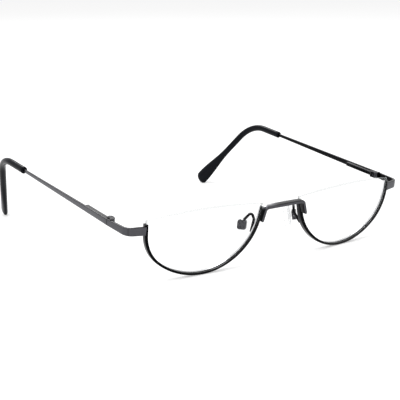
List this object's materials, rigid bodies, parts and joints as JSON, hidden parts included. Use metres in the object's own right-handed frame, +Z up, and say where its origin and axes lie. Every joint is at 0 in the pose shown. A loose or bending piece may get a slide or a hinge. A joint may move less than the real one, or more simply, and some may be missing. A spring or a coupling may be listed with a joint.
{
  "type": "half eye reading glasses",
  "caption": "Half eye reading glasses: half-moon lenses in open-topped rims, bent bridge, spring-hinged folding temples with hooked tips and rocking nose pads.",
  "frame": {"origin": "centre of the bounding box in X and Y, on the surface that the rims and temple tips stand on", "axes": "+X towards the wearer's left, +Y from the lenses back to the temple tips, +Z up; temples open"},
  "size_m": [0.1394, 0.1386, 0.0336],
  "materials": {
    "frame_metal": "satin gunmetal plating",
    "temple_metal": "satin gunmetal plating",
    "hinge_metal": "satin gunmetal plating",
    "screw_steel": "bright turned steel",
    "spring_steel": "drawn spring wire",
    "lens_clear": "clear polished lens",
    "pad_silicone": "clear soft silicone",
    "insert_plastic": "clear hard plastic",
    "tip_plastic": "glossy near-black plastic"
  },
  "bodies": {
    "front": {"bridge": "frame_metal", "rim_left": "frame_metal", "rim_right": "frame_metal", "lens_left": "lens_clear", "lens_right": "lens_clear", "endpiece_left": "frame_metal", "endpiece_right": "frame_metal", "front_hinge_left": "hinge_metal", "front_hinge_right": "hinge_metal", "hinge_screw_left": "screw_steel", "hinge_screw_right": "screw_steel", "pad_arm_left": "frame_metal", "pad_arm_right": "frame_metal", "pad_box_left": "hinge_metal", "pad_box_right": "hinge_metal", "pad_screw_left": "screw_steel", "pad_screw_right": "screw_steel"},
    "slider_left": {"hinge_slider_left": "hinge_metal", "shank_nut_left": "screw_steel"},
    "temple_left": {"temple_bar_left": "temple_metal", "temple_tip_left": "tip_plastic", "spring_box_left": "temple_metal", "spring_stop_left": "hinge_metal", "hinge_spring_left": "spring_steel"},
    "pad_left": {"nose_pad_left": "pad_silicone", "pad_insert_left": "insert_plastic"},
    "slider_right": {"hinge_slider_right": "hinge_metal", "shank_nut_right": "screw_steel"},
    "temple_right": {"temple_bar_right": "temple_metal", "temple_tip_right": "tip_plastic", "spring_box_right": "temple_metal", "spring_stop_right": "hinge_metal", "hinge_spring_right": "spring_steel"},
    "pad_right": {"nose_pad_right": "pad_silicone", "pad_insert_right": "insert_plastic"}
  },
  "joints": [
    {"name": "fold_left", "type": "hinge", "parent": "front", "child": "slider_left", "pos_m": [0.0665, -0.04812, 0.02313], "axis": [0, -0.1127, 0.9936], "range_deg": [0, 90]},
    {"name": "stretch_left", "type": "slide", "parent": "slider_left", "child": "temple_left", "axis": [0, 0.9936, 0.1127], "range_m": [0, 0.0012], "stiffness_N_per_m": 2500, "springref_m": -0.0004, "deforming": ["hinge_spring_left"]},
    {"name": "pad_rock_left", "type": "hinge", "parent": "front", "child": "pad_left", "pos_m": [0.01327, -0.05846, 0.01531], "axis": [0.6691, 0.7384, 0.0838], "range_deg": [-8, 8]},
    {"name": "fold_right", "type": "hinge", "parent": "front", "child": "slider_right", "pos_m": [-0.0665, -0.04812, 0.02313], "axis": [0, 0.1127, -0.9936], "range_deg": [0, 85]},
    {"name": "stretch_right", "type": "slide", "parent": "slider_right", "child": "temple_right", "axis": [0, 0.9936, 0.1127], "range_m": [0, 0.0012], "stiffness_N_per_m": 2500, "springref_m": -0.0004, "deforming": ["hinge_spring_right"]},
    {"name": "pad_rock_right", "type": "hinge", "parent": "front", "child": "pad_right", "pos_m": [-0.01327, -0.05846, 0.01531], "axis": [-0.6691, 0.7384, 0.0838], "range_deg": [-8, 8]}
  ]
}
